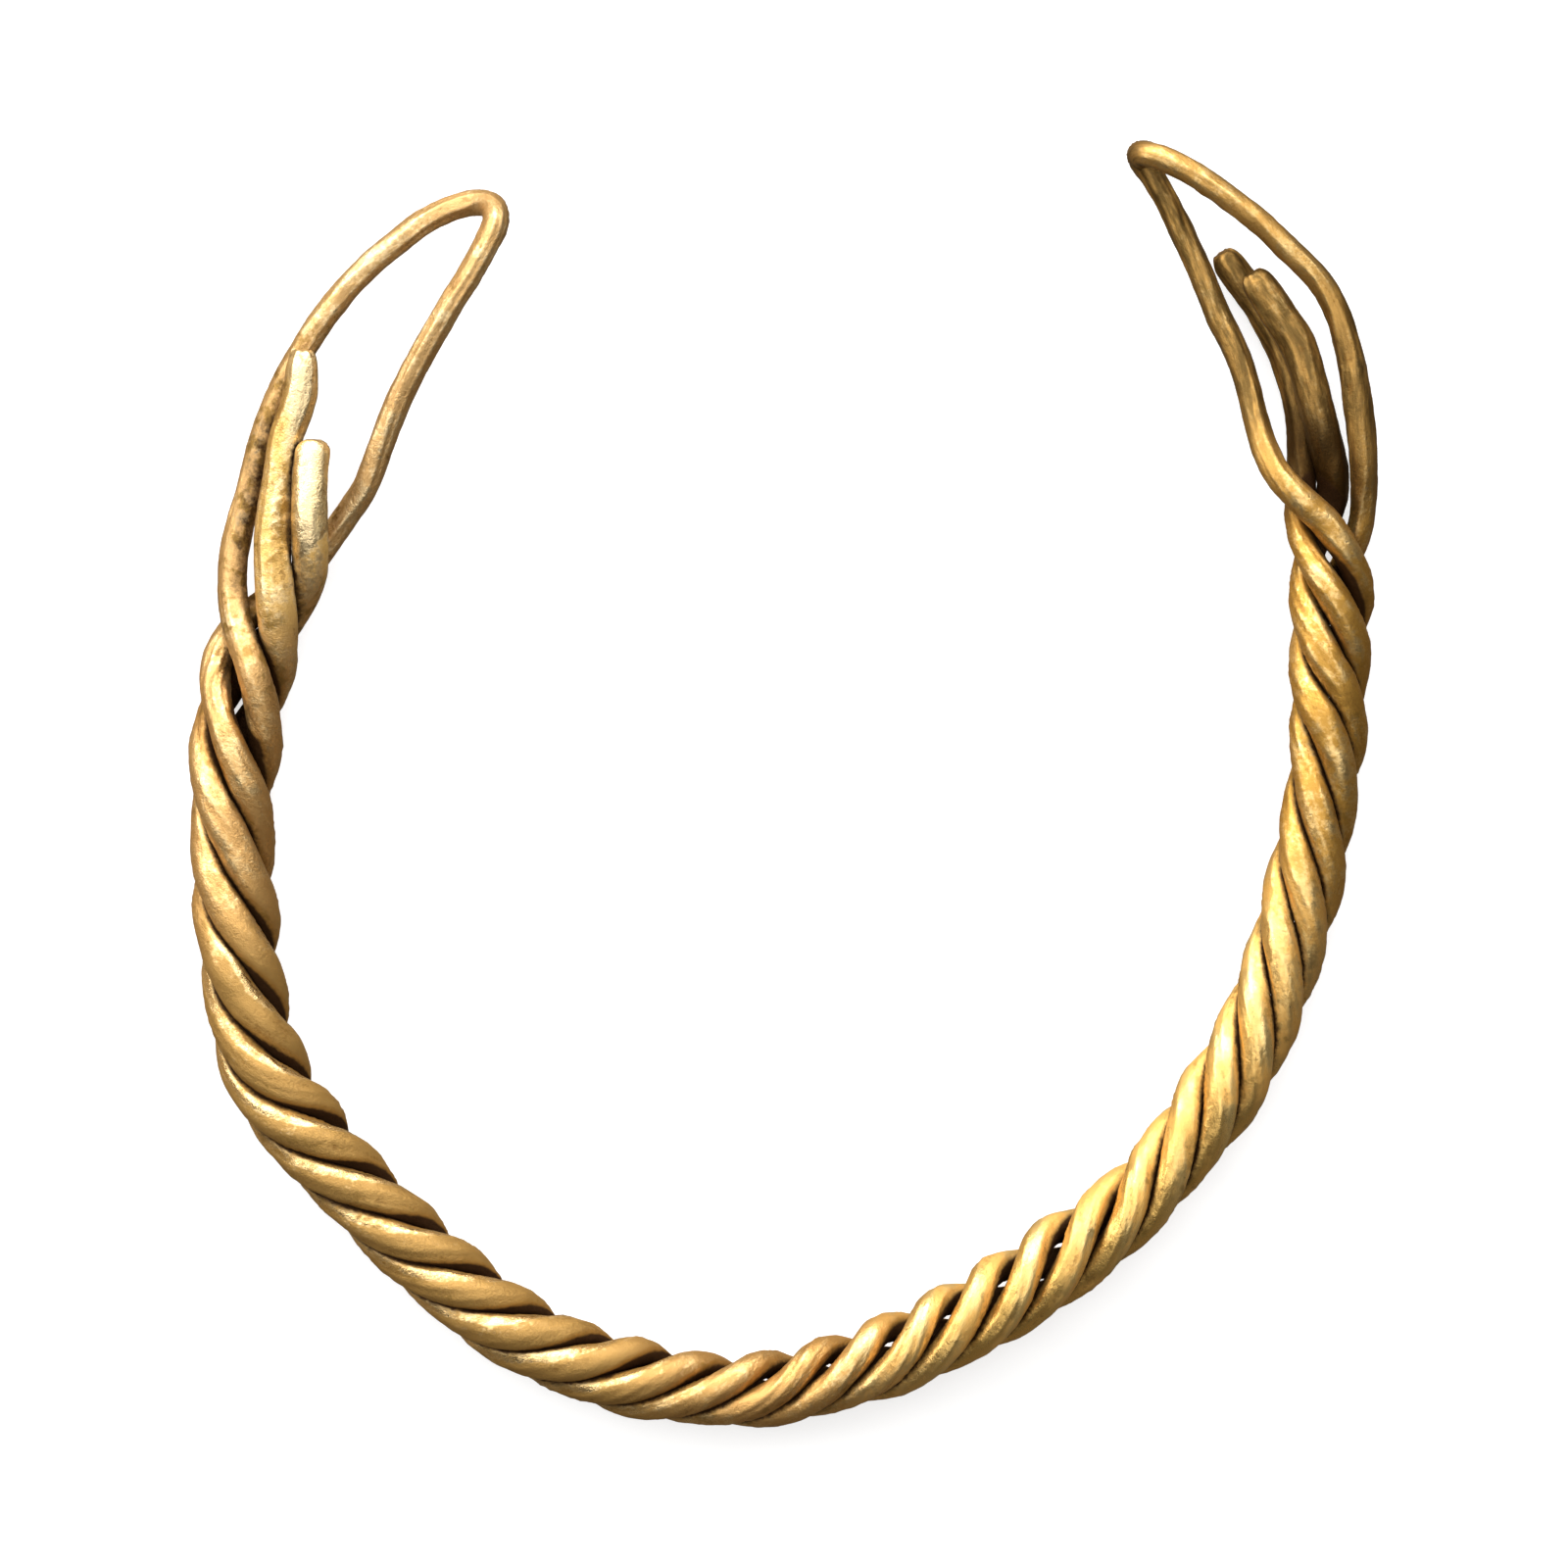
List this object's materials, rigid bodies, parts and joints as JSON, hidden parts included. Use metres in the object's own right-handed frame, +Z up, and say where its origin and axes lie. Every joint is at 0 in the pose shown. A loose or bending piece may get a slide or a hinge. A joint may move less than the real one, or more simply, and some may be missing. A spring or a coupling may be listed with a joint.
{
  "type": "twisted arm ring",
  "caption": "Open arm ring of twisted gold rods, with a narrow wire loop and blunt, side by side rod ends at its mouth.",
  "frame": {"origin": "the middle of the bounding box, on the plane on which the ring lies", "axes": "+Z up out of the ring's plane, +Y towards its mouth with the loops, +X to the right as seen from above"},
  "size_m": [0.0864, 0.0936, 0.0084],
  "materials": {
    "left_rod_gold": "satin gold with brown patina",
    "right_rod_gold": "satin gold with brown patina"
  },
  "bodies": {
    "root": {"left_loop_rod": "left_rod_gold", "right_loop_rod": "right_rod_gold"}
  },
  "joints": []
}
